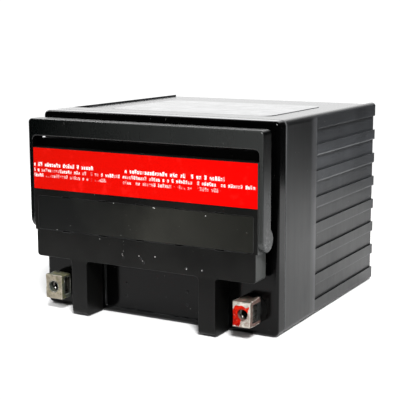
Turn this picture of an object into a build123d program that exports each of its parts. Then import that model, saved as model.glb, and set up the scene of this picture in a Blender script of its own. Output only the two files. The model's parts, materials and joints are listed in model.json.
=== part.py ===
from build123d import *
import os

# A sealed motorcycle battery, lying on one long side. X is its length, Z is its width and
# Y is its own height: the terminals look along -Y and the base is at +Y. The origin is the
# middle of the footprint on the ground. "Height" below means the height above the battery's
# own base, and level(height) is the plane there, with X to the right and Z up.

LENGTH = 166.0
WIDTH = 126.0
HEIGHT = 175.0
FACE = 158.0                        # height of the lid's outer face
MID_Z = WIDTH / 2
OVERRUN = 1.0                       # how far cuts run past the surface they start from

# Case
CORNER_RADIUS = 3.5
WALL = 2.8
CELL_CORNER = 1.0
BASE_THICKNESS = 3.0
JOINT = 148.2                       # where the lid meets the case
SEAM_WIDTH = 1.2
SEAM_DEPTH = 1.2
CELLS = 6
PARTITION = 1.8
CELL_WIDTH = (LENGTH - 2 * WALL - (CELLS - 1) * PARTITION) / CELLS
CELL_PITCH = CELL_WIDTH + PARTITION
RIB_TOP = 102.5                     # the short sides are ribbed below this height
RIB_PITCH = 16.35
GROOVE_WIDTH = 9.6
GROOVES = 7
GROOVE_DEPTH = 1.3
SHOULDER_DROP = 0.5                 # the ribs stand this much inside the smooth band
SHOULDER_LENGTH = 9.0
PANEL_TOP = 131.0                   # the long sides are sunk below this height
PANEL_EDGE = 3.5                    # width of the proud strip left along each long edge
PANEL_DEPTH = 1.2
CELL_LENGTH = WIDTH - 2 * (WALL + PANEL_DEPTH)

# Lid
LID_PLATE = 3.5
LID_EDGE_RADIUS = 2.2
RECESS_DEPTH = 1.2                  # shallow field between the vent cover's legs
RECESS_EDGE = 3.5
RECESS_CORNER = 1.5
PIP_RADIUS = 0.8
PIP_HEIGHT = 0.3
PIP_X = 22.0
PIP_ROWS = (11.5, 19.7)

# Vent cover
COVER_TOP = HEIGHT - 0.3            # labels make up the last 0.3 mm
COVER_HALF = 78.4                   # half width beside the handle's arms
COVER_LOW_HALF = 77.2               # half width below the handle's arms
COVER_BOTTOM_Z = 35.4
COVER_TOP_Z = 104.4
COVER_STEP_Z = 52.2
COVER_UNDERSIDE = FACE + 4.2        # the neck below this height is narrower
NECK_INSET = 4.0
LEDGE_TOP_Z = 109.6                 # low ledge between the block and the handle's grip
LEDGE_HEIGHT = FACE + 9.4
LEDGE_HALF = 78.3
LEDGE_CORNER = 0.5
LEDGE_OVERLAP = 4.0                 # how far the ledge runs into the block
COVER_CORNER = 2.2
COVER_EDGE = 0.35
COVER_WALL = 2.8
CAVITY_HALF = 71.5
LEG_INNER = 39.7
LEG_OUTER = 50.9
LEG_MID = (LEG_INNER + LEG_OUTER) / 2
LEG_WIDTH = LEG_OUTER - LEG_INNER
LEG_BOTTOM_Z = 0.3
LEG_FOOT_RADIUS = 3.6
LEG_JOIN_RADIUS = 2.0
RECESS_HALF = LEG_INNER - 2.2
MARK_RADIUS = 0.7                   # small ejector marks on the block's front
MARK_HEIGHT = 0.25
MARKS = [(32.0, 39.4), (42.4, 39.4), (-12.0, 41.0), (0.5, 41.6), (2.5, 39.4)]

# Cell caps
CAP_ROW_Z = 63.4
STRIP_WIDTH = 21.0
STRIP_LENGTH = 151.0
STRIP_THICKNESS = 2.5
STRIP_CORNER = 1.3
STRIP_EDGE = 0.3
STRIP_GAP = 0.15
STRIP_TOP = HEIGHT - 0.45
STRIP_FLOOR = STRIP_TOP - STRIP_THICKNESS
NOTCH_LENGTH = 6.0
NOTCH_DEPTH = 0.5
WELL_RADIUS = 6.9
WELL_WALL = 1.7
WELL_OVERLAP = 0.5                  # how far the wells run into the cover's front wall
PLUG_RADIUS = 6.5
PLUG_BORE = 5.5
PLUG_BOTTOM = FACE + 3.0
PLUG_BORE_TOP = FACE + 7.0
SEAL_HEIGHT = FACE + 10.0
SEAL_GROOVE = 5.9
SEAL_GROOVE_WIDTH = 2.0
SEAL_SECTION = 0.48
SEAL_FIT = 0.01
NIPPLE_RADIUS = 3.8
NIPPLE_HEIGHT = 5.0
NIPPLE_BORE = 1.6
VALVE_RADIUS = 5.2
VALVE_BORE = NIPPLE_RADIUS + 0.03
VALVE_BOTTOM = FACE + 0.6
VALVE_TOP = FACE + 6.4

# Hollow of the vent cover and its flame arrestor
CAVITY_TOP = COVER_TOP - COVER_WALL
CAVITY_LOW_TOP = STRIP_FLOOR - COVER_WALL
NECK_TOP_Z = COVER_TOP_Z - NECK_INSET
NECK_BOTTOM_Z = COVER_BOTTOM_Z + NECK_INSET
CAVITY_TOP_Z = NECK_TOP_Z - COVER_WALL
CAVITY_BOTTOM_Z = NECK_BOTTOM_Z + COVER_WALL
ARRESTOR_RADIUS = 6.0
ARRESTOR_THICKNESS = 3.0
ARRESTOR_Z = 88.0
ARRESTOR_WALL = 2.0
CHANNEL_HALF = 2.0                  # half width of the way from the arrestor's seat to the outlet
OUTLET_RADIUS = 0.9

# Handle
PIVOT_HEIGHT = FACE + 10.0
PIVOT_Z = 59.7
HANDLE_OUTER = 81.6
ARM_THICKNESS = 2.85
ARM_INNER = HANDLE_OUTER - ARM_THICKNESS
HANDLE_TOP_Z = 122.3
GRIP_HEIGHT = 10.8
HANDLE_LOW = FACE + 6.2             # underside of the handle when it is folded
EYE_RADIUS = 7.0
TRUNNION_RADIUS = 3.0
TRUNNION_LENGTH = 3.0
TRUNNION_CLEARANCE = 0.06
TRUNNION_END_GAP = 0.65
HANDLE_CORNER = 2.6
INNER_CORNER = 3.0
HANDLE_EDGE = 1.0

# Terminals. X and Z are the stud hole's; the other sizes are measured from it.
TERMINAL_X = 67.3
TERMINAL_Z = 15.6
TERMINAL_INNER = 6.4
TERMINAL_HIGH_Z = 7.6
NEGATIVE_OUTER = 6.4
NEGATIVE_LOW_Z = 8.2
POSITIVE_OUTER = 5.2                # the positive terminal is cut closer on its outer side
POSITIVE_LOW_Z = 7.6
POSITIVE_RISE = 1.0                 # and its top climbs this much towards the lid
TERMINAL_TOP = FACE + 14.3
TERMINAL_BASE = FACE + 0.5
FRONT_WALL = 3.6
NECK_SETBACK = 3.1                  # the negative terminal's neck is set back on its inner side
NECK_MARGIN_Z = 1.3
POCKET_FLOOR = 1.0
CAST_EDGE = 0.8
STUD_HOLE = 3.25                    # M6 clearance
STUD_RUNOUT = 3.0                   # room for the bolt's end behind the nut
NUT_SIZE = 10.0
NUT_THICKNESS = 5.0
NUT_CORNER = 0.5
NUT_CHAMFER = 0.4
NUT_GAP = 0.3
NUT_BORE = 2.5                      # M6 tapping size
POCKET_TOP = TERMINAL_TOP - FRONT_WALL
POCKET_BOTTOM = POCKET_TOP - NUT_THICKNESS - 2 * NUT_GAP
HALF_POCKET = NUT_SIZE / 2 + NUT_GAP
POST_RADIUS = 4.0
BUSHING_RADIUS = 6.4
FLANGE_RADIUS = 5.9
FLANGE_BELOW = 1.5                  # how far the bushings reach below the lid's plate
SEAL_RING_RADIUS = 9.0
SEAL_RING_HEIGHT = 0.4

# Plates
PLATE_BOTTOM = 7.0
PLATE_TOP = 125.0
PLATE_MARGIN = 6.5
POSITIVE_PLATES = 4
NEGATIVE_PLATES = 5
POSITIVE_THICKNESS = 2.2
NEGATIVE_THICKNESS = 1.6
SHEET_THICKNESS = 0.9
SHEET_MARGIN = 1.0                  # the mats stand this much proud of the plates' sides
SHEET_OVERHANG = 1.5                # and this much above and below them
STACK_PITCH = (POSITIVE_THICKNESS + NEGATIVE_THICKNESS) / 2 + SHEET_THICKNESS
PLATE_WIDTH = WIDTH - 2 * PLATE_MARGIN
STRAP_BOTTOM = 130.0
STRAP_TOP = 135.5
STRAP_WIDTH = 14.0
STRAP_LENGTH = CELL_WIDTH - 0.4
LUG_WIDTH = 10.0
WELD_RADIUS = 4.0
WELD_FIT = 0.05
WELD_HEIGHT = (STRAP_BOTTOM + STRAP_TOP) / 2

# Labels
LABEL_THICKNESS = 0.3
LABEL_INSET = 0.3
STRIP_LABEL_BOTTOM_Z = 78.5
STRIP_LABEL_TOP_Z = 104.1
SIDE_LABEL_HALF = 58.5
SIDE_LABEL_BOTTOM = 37.5
SIDE_LABEL_TOP = 121.5
SIDE_LABEL_RADIUS = 8.0

os.makedirs("parts", exist_ok=True)


def level(height):
    """Plane across the battery at a height above its own base, normal towards the terminals."""
    return Plane.XZ.offset(height - HEIGHT / 2)


def save(piece, name):
    """Label a finished piece and write it."""
    piece.label = name
    export_step(piece, f"parts/{name}.step")


def cell_x(index):
    """Middle of a cell, counted from the negative end."""
    return (index - (CELLS - 1) / 2) * CELL_PITCH


def outline(inset=0.0):
    """Rounded rectangle of the battery's footprint, drawn in the current sketch."""
    with Locations((0, MID_Z)):
        RectangleRounded(LENGTH - 2 * inset, WIDTH - 2 * inset, CORNER_RADIUS - inset)


# ---------------------------------------------------------------- case
def cut_grooves():
    """Grooves between the ribs of both short sides, drawn in the current sketch."""
    for side in (-1, 1):
        with Locations((side * LENGTH / 2, MID_Z)):
            with GridLocations(0, RIB_PITCH, 1, GROOVES):
                Rectangle(2 * (GROOVE_DEPTH + SHOULDER_DROP), GROOVE_WIDTH, mode=Mode.SUBTRACT)


def cut_panels():
    """Sunk fields of both long sides, drawn in the current sketch."""
    for edge_z in (0, WIDTH):
        with Locations((0, edge_z)):
            Rectangle(LENGTH - 2 * PANEL_EDGE, 2 * PANEL_DEPTH, mode=Mode.SUBTRACT)


with BuildPart() as case:
    with BuildSketch(level(0)):
        outline()
        cut_grooves()
        cut_panels()
    extrude(amount=RIB_TOP)
    with BuildSketch(level(RIB_TOP)):
        outline()
        cut_panels()
    extrude(amount=PANEL_TOP - RIB_TOP)
    with BuildSketch(level(PANEL_TOP)):
        outline()
    extrude(amount=JOINT - SEAM_WIDTH / 2 - PANEL_TOP)
    # The rim that the lid is welded to stands inside the seam groove.
    with BuildSketch(level(JOINT - SEAM_WIDTH / 2)):
        outline(SEAM_DEPTH)
    extrude(amount=SEAM_WIDTH / 2)
    # The ribbed part of each short side falls away behind a long soft shoulder.
    for side in (-1, 1):
        face_x = side * LENGTH / 2
        rib_x = side * (LENGTH / 2 - SHOULDER_DROP)
        rib_y = HEIGHT / 2 - RIB_TOP
        far_x = face_x + side * OVERRUN
        far_y = HEIGHT / 2 + OVERRUN
        with BuildSketch(Plane.XY.offset(-OVERRUN)):
            with BuildLine():
                shoulder = TangentArc((face_x, rib_y - SHOULDER_LENGTH), (rib_x, rib_y), tangent=(0, 1))
                Polyline(shoulder @ 1, (rib_x, far_y), (far_x, far_y),
                         (far_x, rib_y - SHOULDER_LENGTH), shoulder @ 0)
            make_face()
        extrude(amount=WIDTH + 2 * OVERRUN, mode=Mode.SUBTRACT)
    # Six cells
    with BuildSketch(level(BASE_THICKNESS)):
        with Locations((0, MID_Z)):
            with GridLocations(CELL_PITCH, 0, CELLS, 1):
                RectangleRounded(CELL_WIDTH, CELL_LENGTH, CELL_CORNER)
    extrude(amount=HEIGHT, mode=Mode.SUBTRACT)
    # Weld holes through the cell walls, at alternate ends of the cells
    for wall in range(CELLS - 1):
        wall_x = (cell_x(wall) + cell_x(wall + 1)) / 2
        weld_z = WIDTH - TERMINAL_Z if wall % 2 == 0 else TERMINAL_Z
        with Locations(Location((wall_x, HEIGHT / 2 - WELD_HEIGHT, weld_z), (0, 90, 0))):
            Cylinder(WELD_RADIUS + WELD_FIT, PARTITION + OVERRUN, mode=Mode.SUBTRACT)
save(case.part, "case")


# ---------------------------------------------------------------- lid
with BuildPart() as lid:
    with BuildSketch(level(JOINT + SEAM_WIDTH / 2)):
        outline()
    extrude(amount=FACE - JOINT - SEAM_WIDTH / 2)
    fillet(lid.faces().sort_by(Axis.Y)[0].edges(), LID_EDGE_RADIUS)
    with BuildSketch(level(JOINT)):
        outline(SEAM_DEPTH)
    extrude(amount=SEAM_WIDTH / 2)
    # Cell tops, closed off from each other by walls that meet the case's
    with BuildSketch(level(JOINT)):
        with Locations((0, MID_Z)):
            with GridLocations(CELL_PITCH, 0, CELLS, 1):
                RectangleRounded(CELL_WIDTH, CELL_LENGTH, CELL_CORNER)
    extrude(amount=FACE - LID_PLATE - JOINT, mode=Mode.SUBTRACT)
    # Shallow field between the vent cover's legs
    with BuildSketch(level(FACE)):
        with Locations((0, (RECESS_EDGE + COVER_BOTTOM_Z) / 2)):
            RectangleRounded(2 * RECESS_HALF, COVER_BOTTOM_Z - RECESS_EDGE, RECESS_CORNER)
    extrude(amount=-RECESS_DEPTH, mode=Mode.SUBTRACT)
    with BuildSketch(level(FACE - RECESS_DEPTH)):
        with Locations([(side * PIP_X, row) for side in (-1, 1) for row in PIP_ROWS]):
            Circle(PIP_RADIUS)
    extrude(amount=PIP_HEIGHT)
    # A vent hole above each cell, and the holes for the lead bushings
    with BuildSketch(level(FACE - LID_PLATE)):
        with Locations((0, CAP_ROW_Z)):
            with GridLocations(CELL_PITCH, 0, CELLS, 1):
                Circle(NIPPLE_BORE)
        with Locations([(side * TERMINAL_X, TERMINAL_Z) for side in (-1, 1)]):
            Circle(BUSHING_RADIUS)
    extrude(amount=LID_PLATE, mode=Mode.SUBTRACT)
save(lid.part, "lid")

# Necks that the vent valves sit on, one above each cell's vent hole
with BuildPart() as valve_seats:
    with BuildSketch(level(FACE)):
        with Locations((0, CAP_ROW_Z)):
            with GridLocations(CELL_PITCH, 0, CELLS, 1):
                Circle(NIPPLE_RADIUS)
    extrude(amount=NIPPLE_HEIGHT)
    with BuildSketch(level(FACE)):
        with Locations((0, CAP_ROW_Z)):
            with GridLocations(CELL_PITCH, 0, CELLS, 1):
                Circle(NIPPLE_BORE)
    extrude(amount=NIPPLE_HEIGHT, mode=Mode.SUBTRACT)
save(valve_seats.part, "valve_seats")

# ---------------------------------------------------------------- vent cover
def upright(x_low, x_high, z_low, z_high):
    """Rectangle between two X and two Z values, drawn in the current sketch."""
    with Locations(((x_low + x_high) / 2, (z_low + z_high) / 2)):
        Rectangle(x_high - x_low, z_high - z_low)


with BuildPart() as vent_cover:
    # Block and legs as one outline seen from the terminals' side
    with BuildSketch(level(COVER_UNDERSIDE)) as face_shape:
        upright(-COVER_HALF, COVER_HALF, COVER_STEP_Z, COVER_TOP_Z)
        upright(-COVER_LOW_HALF, COVER_LOW_HALF, COVER_BOTTOM_Z, COVER_STEP_Z)
        for side in (-1, 1):
            with Locations((side * LEG_MID, (LEG_BOTTOM_Z + COVER_STEP_Z) / 2)):
                Rectangle(LEG_WIDTH, COVER_STEP_Z - LEG_BOTTOM_Z)
        underside = face_shape.vertices().filter_by(lambda v: abs(v.Y - COVER_BOTTOM_Z) < 0.01)
        fillet(underside.filter_by(lambda v: abs(v.X) > COVER_LOW_HALF - 1), COVER_CORNER)
        underside = face_shape.vertices().filter_by(lambda v: abs(v.Y - COVER_BOTTOM_Z) < 0.01)
        fillet(underside.filter_by(lambda v: abs(abs(v.X) - LEG_MID) < LEG_WIDTH), LEG_JOIN_RADIUS)
    extrude(amount=COVER_TOP - COVER_UNDERSIDE)
    # Ledge above the block, lower than its front
    with BuildSketch(level(COVER_UNDERSIDE)):
        with Locations((0, (COVER_TOP_Z + LEDGE_TOP_Z - LEDGE_OVERLAP) / 2)):
            RectangleRounded(2 * LEDGE_HALF, LEDGE_TOP_Z - COVER_TOP_Z + LEDGE_OVERLAP, LEDGE_CORNER)
    extrude(amount=LEDGE_HEIGHT - COVER_UNDERSIDE)
    # Narrower neck between the block and the lid, and the roots of the legs
    with BuildSketch(level(FACE)):
        upright(-COVER_LOW_HALF + NECK_INSET, COVER_LOW_HALF - NECK_INSET, NECK_BOTTOM_Z, NECK_TOP_Z)
        for side in (-1, 1):
            with Locations((side * LEG_MID, (LEG_BOTTOM_Z + NECK_BOTTOM_Z) / 2)):
                Rectangle(LEG_WIDTH, NECK_BOTTOM_Z - LEG_BOTTOM_Z)
    extrude(amount=COVER_UNDERSIDE - FACE)
    # Rounded feet
    feet = vent_cover.faces().filter_by(Axis.Z).filter_by(lambda f: abs(f.center().Z - LEG_BOTTOM_Z) < 0.01)
    fillet(feet.edges().filter_by(Axis.X).group_by(Axis.Y)[0], LEG_FOOT_RADIUS)
    fillet(vent_cover.faces().sort_by(Axis.Y)[0].edges().filter_by(lambda e: e.length > 3), COVER_EDGE)
    # Small ejector marks on the block's front
    with BuildSketch(level(COVER_TOP)):
        with Locations(MARKS):
            Circle(MARK_RADIUS)
    extrude(amount=MARK_HEIGHT)
    # Cavity behind the front wall, deeper above and below the cap strip
    with BuildSketch(level(FACE)):
        upright(-CAVITY_HALF, CAVITY_HALF, CAVITY_BOTTOM_Z, CAVITY_TOP_Z)
    extrude(amount=CAVITY_LOW_TOP - FACE, mode=Mode.SUBTRACT)
    with BuildSketch(level(FACE)):
        upright(-CAVITY_HALF, CAVITY_HALF, CAP_ROW_Z + STRIP_WIDTH / 2 + COVER_WALL, CAVITY_TOP_Z)
        upright(-CAVITY_HALF, CAVITY_HALF, CAVITY_BOTTOM_Z, CAP_ROW_Z - STRIP_WIDTH / 2 - COVER_WALL)
    extrude(amount=CAVITY_TOP - FACE, mode=Mode.SUBTRACT)
    with BuildSketch(level(FACE)):
        for side in (-1, 1):
            with Locations((side * LEG_MID, COVER_BOTTOM_Z / 2)):
                Rectangle(LEG_WIDTH - 2 * COVER_WALL, COVER_BOTTOM_Z - 4 * COVER_WALL)
    extrude(amount=CAVITY_TOP - FACE - COVER_WALL, mode=Mode.SUBTRACT)
    # Wells for the plugs, standing on the lid
    with BuildSketch(level(FACE)):
        with Locations((0, CAP_ROW_Z)):
            with GridLocations(CELL_PITCH, 0, CELLS, 1):
                Circle(WELL_RADIUS + WELL_WALL)
    extrude(amount=CAVITY_LOW_TOP - FACE + WELL_OVERLAP)
    with BuildSketch(level(FACE)):
        with Locations((0, CAP_ROW_Z)):
            with GridLocations(CELL_PITCH, 0, CELLS, 1):
                Circle(WELL_RADIUS)
    extrude(amount=COVER_TOP - FACE, mode=Mode.SUBTRACT)
    # Pocket for the cap strip, with notches to lift it by
    with BuildSketch(level(STRIP_FLOOR)):
        with Locations((0, CAP_ROW_Z)):
            RectangleRounded(STRIP_LENGTH + 2 * STRIP_GAP, STRIP_WIDTH + 2 * STRIP_GAP,
                             STRIP_CORNER + STRIP_GAP)
            with GridLocations(CELL_PITCH, STRIP_WIDTH + 2 * STRIP_GAP, CELLS - 1, 2):
                Rectangle(NOTCH_LENGTH, 2 * NOTCH_DEPTH)
    extrude(amount=COVER_TOP - STRIP_FLOOR, mode=Mode.SUBTRACT)
    # Seat of the flame arrestor, with its outlet through the upper wall
    with BuildSketch(level(CAVITY_TOP - ARRESTOR_THICKNESS - ARRESTOR_WALL)):
        with Locations((0, ARRESTOR_Z)):
            Circle(ARRESTOR_RADIUS + ARRESTOR_WALL)
            Circle(ARRESTOR_RADIUS, mode=Mode.SUBTRACT)
    extrude(amount=ARRESTOR_THICKNESS + ARRESTOR_WALL)
    with BuildSketch(level(CAVITY_TOP - ARRESTOR_WALL)):
        upright(-CHANNEL_HALF, CHANNEL_HALF, ARRESTOR_Z + ARRESTOR_RADIUS + ARRESTOR_WALL / 2, CAVITY_TOP_Z)
    extrude(amount=ARRESTOR_WALL)
    outlet_y = HEIGHT / 2 - CAVITY_TOP + ARRESTOR_WALL / 2
    with Locations(Location((0, outlet_y, COVER_TOP_Z))):
        Cylinder(OUTLET_RADIUS, 2 * (COVER_TOP_Z - ARRESTOR_Z), mode=Mode.SUBTRACT)
    # Blind bores for the handle's trunnions
    bore_depth = COVER_HALF - ARM_INNER + TRUNNION_LENGTH + TRUNNION_END_GAP
    for side in (-1, 1):
        bore_x = side * (COVER_HALF - bore_depth / 2)
        with Locations(Location((bore_x, HEIGHT / 2 - PIVOT_HEIGHT, PIVOT_Z), (0, 90, 0))):
            Cylinder(TRUNNION_RADIUS + TRUNNION_CLEARANCE, bore_depth, mode=Mode.SUBTRACT)
save(vent_cover.part, "vent_cover")

# ---------------------------------------------------------------- cell caps and valves
with BuildPart() as cell_cap_strip:
    with BuildSketch(level(STRIP_FLOOR)):
        with Locations((0, CAP_ROW_Z)):
            RectangleRounded(STRIP_LENGTH, STRIP_WIDTH, STRIP_CORNER)
    extrude(amount=STRIP_THICKNESS)
    fillet(cell_cap_strip.faces().sort_by(Axis.Y)[0].edges(), STRIP_EDGE)
    with BuildSketch(level(PLUG_BOTTOM)):
        with Locations((0, CAP_ROW_Z)):
            with GridLocations(CELL_PITCH, 0, CELLS, 1):
                Circle(PLUG_RADIUS)
    extrude(amount=STRIP_FLOOR - PLUG_BOTTOM)
    with BuildSketch(level(PLUG_BOTTOM)):
        with Locations((0, CAP_ROW_Z)):
            with GridLocations(CELL_PITCH, 0, CELLS, 1):
                Circle(PLUG_BORE)
    extrude(amount=PLUG_BORE_TOP - PLUG_BOTTOM, mode=Mode.SUBTRACT)
    with BuildSketch(level(SEAL_HEIGHT - SEAL_GROOVE_WIDTH / 2)):
        with Locations((0, CAP_ROW_Z)):
            with GridLocations(CELL_PITCH, 0, CELLS, 1):
                Circle(PLUG_RADIUS + OVERRUN)
                Circle(SEAL_GROOVE, mode=Mode.SUBTRACT)
    extrude(amount=SEAL_GROOVE_WIDTH, mode=Mode.SUBTRACT)
save(cell_cap_strip.part, "cell_cap_strip")

with BuildPart() as cap_seals:
    with Locations(level(SEAL_HEIGHT)):
        with Locations((0, CAP_ROW_Z)):
            with GridLocations(CELL_PITCH, 0, CELLS, 1):
                Torus(SEAL_GROOVE + SEAL_SECTION + SEAL_FIT, SEAL_SECTION)
save(cap_seals.part, "cap_seals")

with BuildPart() as vent_valves:
    with BuildSketch(level(VALVE_BOTTOM)):
        with Locations((0, CAP_ROW_Z)):
            with GridLocations(CELL_PITCH, 0, CELLS, 1):
                Circle(VALVE_RADIUS)
    extrude(amount=VALVE_TOP - VALVE_BOTTOM)
    with BuildSketch(level(FACE)):
        with Locations((0, CAP_ROW_Z)):
            with GridLocations(CELL_PITCH, 0, CELLS, 1):
                Circle(VALVE_BORE)
    extrude(amount=NIPPLE_HEIGHT, mode=Mode.SUBTRACT)
save(vent_valves.part, "vent_valves")

with BuildPart() as flame_arrestor:
    with BuildSketch(level(CAVITY_TOP - ARRESTOR_WALL - ARRESTOR_THICKNESS)):
        with Locations((0, ARRESTOR_Z)):
            Circle(ARRESTOR_RADIUS)
    extrude(amount=ARRESTOR_THICKNESS)
save(flame_arrestor.part, "flame_arrestor")

# ---------------------------------------------------------------- carry handle
def make_eye(side):
    """Round end of one arm, with its outer rim rounded."""
    with BuildPart() as eye:
        with BuildSketch(Plane.YZ.offset(side * HANDLE_OUTER)):
            with Locations((HEIGHT / 2 - PIVOT_HEIGHT, PIVOT_Z)):
                Circle(EYE_RADIUS)
        extrude(amount=-side * ARM_THICKNESS)
        rim = eye.edges().filter_by(lambda e: abs(abs(e.center().X) - HANDLE_OUTER) < 0.01)
        fillet(rim.filter_by(GeomType.CIRCLE), HANDLE_EDGE)
    return eye.part


with BuildPart() as carry_handle:
    with BuildSketch(level(HANDLE_LOW)) as bow:
        upright(-HANDLE_OUTER, HANDLE_OUTER, PIVOT_Z, HANDLE_TOP_Z)
        with Locations((0, (PIVOT_Z + HANDLE_TOP_Z - GRIP_HEIGHT) / 2)):
            Rectangle(2 * ARM_INNER, HANDLE_TOP_Z - GRIP_HEIGHT - PIVOT_Z, mode=Mode.SUBTRACT)
        corners = bow.vertices().group_by(Axis.Y)
        fillet(corners[-1], HANDLE_CORNER)
        fillet(bow.vertices().filter_by(lambda v: abs(v.Y - HANDLE_TOP_Z + GRIP_HEIGHT) < 0.01), INNER_CORNER)
    extrude(amount=HEIGHT - HANDLE_LOW)
    rims = carry_handle.faces().filter_by(Axis.Y).edges()
    fillet(rims.filter_by(lambda e: e.center().Z > PIVOT_Z + 1), HANDLE_EDGE)
    add([make_eye(side) for side in (-1, 1)])
    for side in (-1, 1):
        trunnion_x = side * (ARM_INNER - TRUNNION_LENGTH / 2)
        with Locations(Location((trunnion_x, HEIGHT / 2 - PIVOT_HEIGHT, PIVOT_Z), (0, 90, 0))):
            Cylinder(TRUNNION_RADIUS, TRUNNION_LENGTH)
save(carry_handle.part, "carry_handle")

# ---------------------------------------------------------------- terminals
def make_hollow(side):
    """Nut pocket that runs through from side to side, and the stud hole, as one solid to cut away."""
    with BuildPart() as hollow:
        with BuildSketch(level(POCKET_BOTTOM)):
            with Locations((side * TERMINAL_X, TERMINAL_Z)):
                Rectangle(2 * (TERMINAL_INNER + OVERRUN), 2 * HALF_POCKET)
        extrude(amount=POCKET_TOP - POCKET_BOTTOM)
        with BuildSketch(level(POCKET_BOTTOM - STUD_RUNOUT)):
            with Locations((side * TERMINAL_X, TERMINAL_Z)):
                Circle(STUD_HOLE)
        extrude(amount=HEIGHT - POCKET_BOTTOM + STUD_RUNOUT)
    return hollow.part


# Cast lead head on a narrower neck
with BuildPart() as negative_terminal:
    with BuildSketch(level(POCKET_BOTTOM - POCKET_FLOOR)):
        upright(-TERMINAL_X - NEGATIVE_OUTER, -TERMINAL_X + TERMINAL_INNER,
                TERMINAL_Z - NEGATIVE_LOW_Z, TERMINAL_Z + TERMINAL_HIGH_Z)
    extrude(amount=TERMINAL_TOP - POCKET_BOTTOM + POCKET_FLOOR)
    fillet(negative_terminal.edges(), CAST_EDGE)
    with BuildSketch(level(TERMINAL_BASE)):
        upright(-TERMINAL_X - NEGATIVE_OUTER, -TERMINAL_X + TERMINAL_INNER - NECK_SETBACK,
                TERMINAL_Z - TERMINAL_HIGH_Z + NECK_MARGIN_Z, TERMINAL_Z + TERMINAL_HIGH_Z - NECK_MARGIN_Z)
    extrude(amount=POCKET_BOTTOM - POCKET_FLOOR - TERMINAL_BASE)
    add(make_hollow(-1), mode=Mode.SUBTRACT)
save(negative_terminal.part, "negative_terminal")

# Cast lead block that keeps its full section down to the lid
with BuildPart() as positive_terminal:
    with BuildSketch(Plane.YZ.offset(TERMINAL_X - TERMINAL_INNER)):
        front_y = HEIGHT / 2 - TERMINAL_TOP
        back_y = HEIGHT / 2 - TERMINAL_BASE
        low_z = TERMINAL_Z - POSITIVE_LOW_Z
        high_z = TERMINAL_Z + TERMINAL_HIGH_Z
        with BuildLine():
            Polyline((front_y, low_z), (back_y, low_z), (back_y, high_z + POSITIVE_RISE),
                     (front_y, high_z), close=True)
        make_face()
    extrude(amount=TERMINAL_INNER + POSITIVE_OUTER)
    fillet(positive_terminal.faces().sort_by(Axis.Y)[0].edges(), CAST_EDGE)
    add(make_hollow(1), mode=Mode.SUBTRACT)
save(positive_terminal.part, "positive_terminal")


def make_nut(side):
    """Square nut in the middle of the terminal's pocket."""
    with BuildPart() as nut:
        with BuildSketch(level(POCKET_BOTTOM + NUT_GAP)):
            with Locations((side * TERMINAL_X, TERMINAL_Z)):
                RectangleRounded(NUT_SIZE, NUT_SIZE, NUT_CORNER)
                Circle(NUT_BORE, mode=Mode.SUBTRACT)
        extrude(amount=NUT_THICKNESS)
        bore_rims = nut.edges().filter_by(GeomType.CIRCLE).filter_by(lambda e: e.radius > NUT_CORNER)
        chamfer(bore_rims, NUT_CHAMFER)
    return nut.part


def make_bushing(side):
    """Lead ring moulded into the lid, with a flange under the terminal."""
    with BuildPart() as bushing:
        with BuildSketch(level(FACE - LID_PLATE - FLANGE_BELOW)):
            with Locations((side * TERMINAL_X, TERMINAL_Z)):
                Circle(BUSHING_RADIUS)
        extrude(amount=LID_PLATE + FLANGE_BELOW)
        with BuildSketch(level(FACE)):
            with Locations((side * TERMINAL_X, TERMINAL_Z)):
                Circle(FLANGE_RADIUS)
        extrude(amount=TERMINAL_BASE - FACE)
        with BuildSketch(level(FACE - LID_PLATE - FLANGE_BELOW)):
            with Locations((side * TERMINAL_X, TERMINAL_Z)):
                Circle(POST_RADIUS)
        extrude(amount=HEIGHT, mode=Mode.SUBTRACT)
    return bushing.part


def make_terminal_seal(side):
    """Resin ring that seals the bushing's flange to the lid."""
    with BuildPart() as ring:
        with BuildSketch(level(FACE)):
            with Locations((side * TERMINAL_X, TERMINAL_Z)):
                Circle(SEAL_RING_RADIUS)
                Circle(FLANGE_RADIUS, mode=Mode.SUBTRACT)
        extrude(amount=SEAL_RING_HEIGHT)
    return ring.part


def make_post(side):
    """Lead post from the end cell's strap up through the bushing."""
    with BuildPart() as post:
        with BuildSketch(level(STRAP_TOP)):
            with Locations((side * TERMINAL_X, TERMINAL_Z)):
                Circle(POST_RADIUS)
        extrude(amount=TERMINAL_BASE - STRAP_TOP)
    return post.part


for pole, side in (("negative", -1), ("positive", 1)):
    save(make_nut(side), f"{pole}_nut")
    save(make_bushing(side), f"{pole}_bushing")
    save(make_terminal_seal(side), f"{pole}_terminal_seal")
    save(make_post(side), f"{pole}_post")

# ---------------------------------------------------------------- cells
def make_plates(index, count, thickness, strap_z):
    """Plates of one polarity in a cell, joined by their lugs and a cast-on strap."""
    with BuildPart() as plates:
        with BuildSketch(level(PLATE_BOTTOM)):
            with Locations((cell_x(index), MID_Z)):
                with GridLocations(2 * STACK_PITCH, 0, count, 1):
                    Rectangle(thickness, PLATE_WIDTH)
        extrude(amount=PLATE_TOP - PLATE_BOTTOM)
        with BuildSketch(level(PLATE_TOP)):
            with Locations((cell_x(index), strap_z)):
                with GridLocations(2 * STACK_PITCH, 0, count, 1):
                    Rectangle(thickness, LUG_WIDTH)
        extrude(amount=STRAP_BOTTOM - PLATE_TOP)
        with BuildSketch(level(STRAP_BOTTOM)):
            with Locations((cell_x(index), strap_z)):
                Rectangle(STRAP_LENGTH, STRAP_WIDTH)
        extrude(amount=STRAP_TOP - STRAP_BOTTOM)
    return plates.part


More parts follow.
